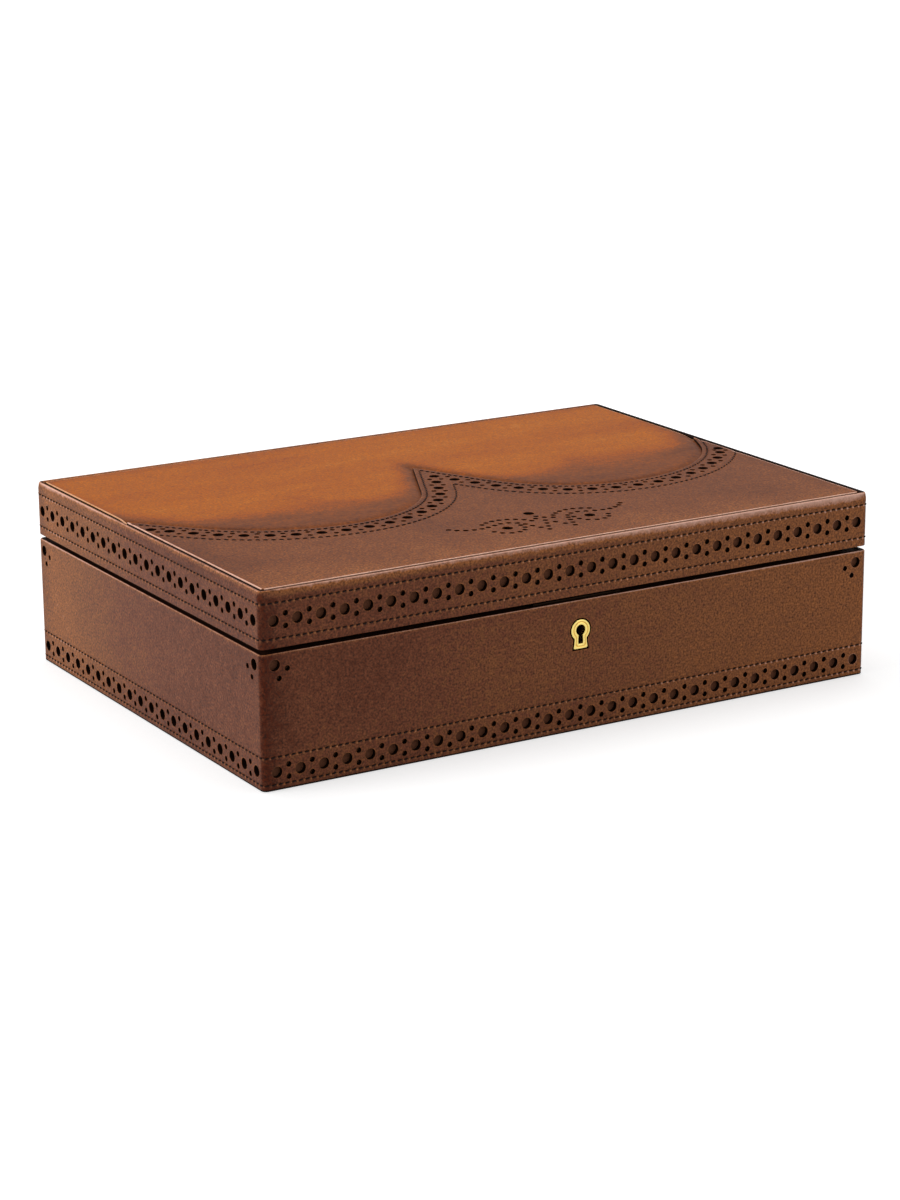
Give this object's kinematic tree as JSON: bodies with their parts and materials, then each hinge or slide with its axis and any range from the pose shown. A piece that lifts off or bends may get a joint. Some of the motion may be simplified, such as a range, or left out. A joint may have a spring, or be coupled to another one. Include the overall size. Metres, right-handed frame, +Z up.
{
  "type": "watch box",
  "caption": "Rectangular leather-covered watch box with a brogue-perforated hinged lid, winged top cap, sliding-bolt lock and a divided, cushioned inside.",
  "frame": {"origin": "centre of the whole box's footprint, hinge barrels included, on the surface that it rests on", "axes": "+X along the box's width to the right, +Y from the front to the hinges at the back, +Z up"},
  "size_m": [0.361, 0.2643, 0.1],
  "materials": {
    "sole": "felt",
    "wood": "stained",
    "side_leather": "burnished, fine grain",
    "dark_lining_leather": "smooth",
    "tan_leather": "burnished, fine grain",
    "cap_leather": "burnished, fine grain",
    "suede": "suede",
    "padded_suede": "suede",
    "brass": "polished",
    "screw_brass": "polished"
  },
  "bodies": {
    "base": {"back_lining": "suede", "base_back_wall": "wood", "base_cover": "side_leather", "base_floor": "wood", "base_front_wall": "wood", "base_hinge_screws": "screw_brass", "base_interlining": "dark_lining_leather", "base_left_wall": "wood", "base_right_wall": "wood", "cross_divider_1": "suede", "cross_divider_2": "suede", "cross_divider_3": "suede", "cross_divider_4": "suede", "escutcheon": "brass", "floor_lining": "suede", "front_lining": "suede", "front_long_divider": "suede", "front_watch_cushion_1": "padded_suede", "front_watch_cushion_2": "padded_suede", "front_watch_cushion_3": "padded_suede", "front_watch_cushion_4": "padded_suede", "front_watch_cushion_5": "padded_suede", "left_hinge_base_leaf": "brass", "left_hinge_pin": "brass", "left_lining": "suede", "lock_case": "brass", "lock_plate": "brass", "lock_screws": "screw_brass", "middle_watch_cushion_1": "padded_suede", "middle_watch_cushion_2": "padded_suede", "middle_watch_cushion_3": "padded_suede", "middle_watch_cushion_4": "padded_suede", "middle_watch_cushion_5": "padded_suede", "rear_long_divider": "suede", "right_hinge_base_leaf": "brass", "right_hinge_pin": "brass", "right_lining": "suede", "sole": "sole"},
    "lid": {"lid_front_wall": "wood", "lid_back_wall": "wood", "lid_left_wall": "wood", "lid_right_wall": "wood", "lid_board": "wood", "lid_band": "side_leather", "lid_interlining": "dark_lining_leather", "lid_lining": "suede", "lid_pad": "padded_suede", "rear_panel": "tan_leather", "cap_underlay": "dark_lining_leather", "wing_cap": "cap_leather", "strike_plate": "brass", "strike_screws": "screw_brass", "lid_hinge_screws": "screw_brass", "left_hinge_lid_leaf": "brass", "right_hinge_lid_leaf": "brass"},
    "lock_bolt": {"lock_bolt": "brass"}
  },
  "joints": [
    {"name": "lid_hinge", "type": "hinge", "parent": "base", "child": "lid", "pos_m": [0, 0.12965, 0.0699], "axis": [-1, 0, 0], "range_deg": [0, 100]},
    {"name": "bolt_slide", "type": "slide", "parent": "base", "child": "lock_bolt", "axis": [-1, 0, 0], "range_m": [0, 0.003]}
  ]
}
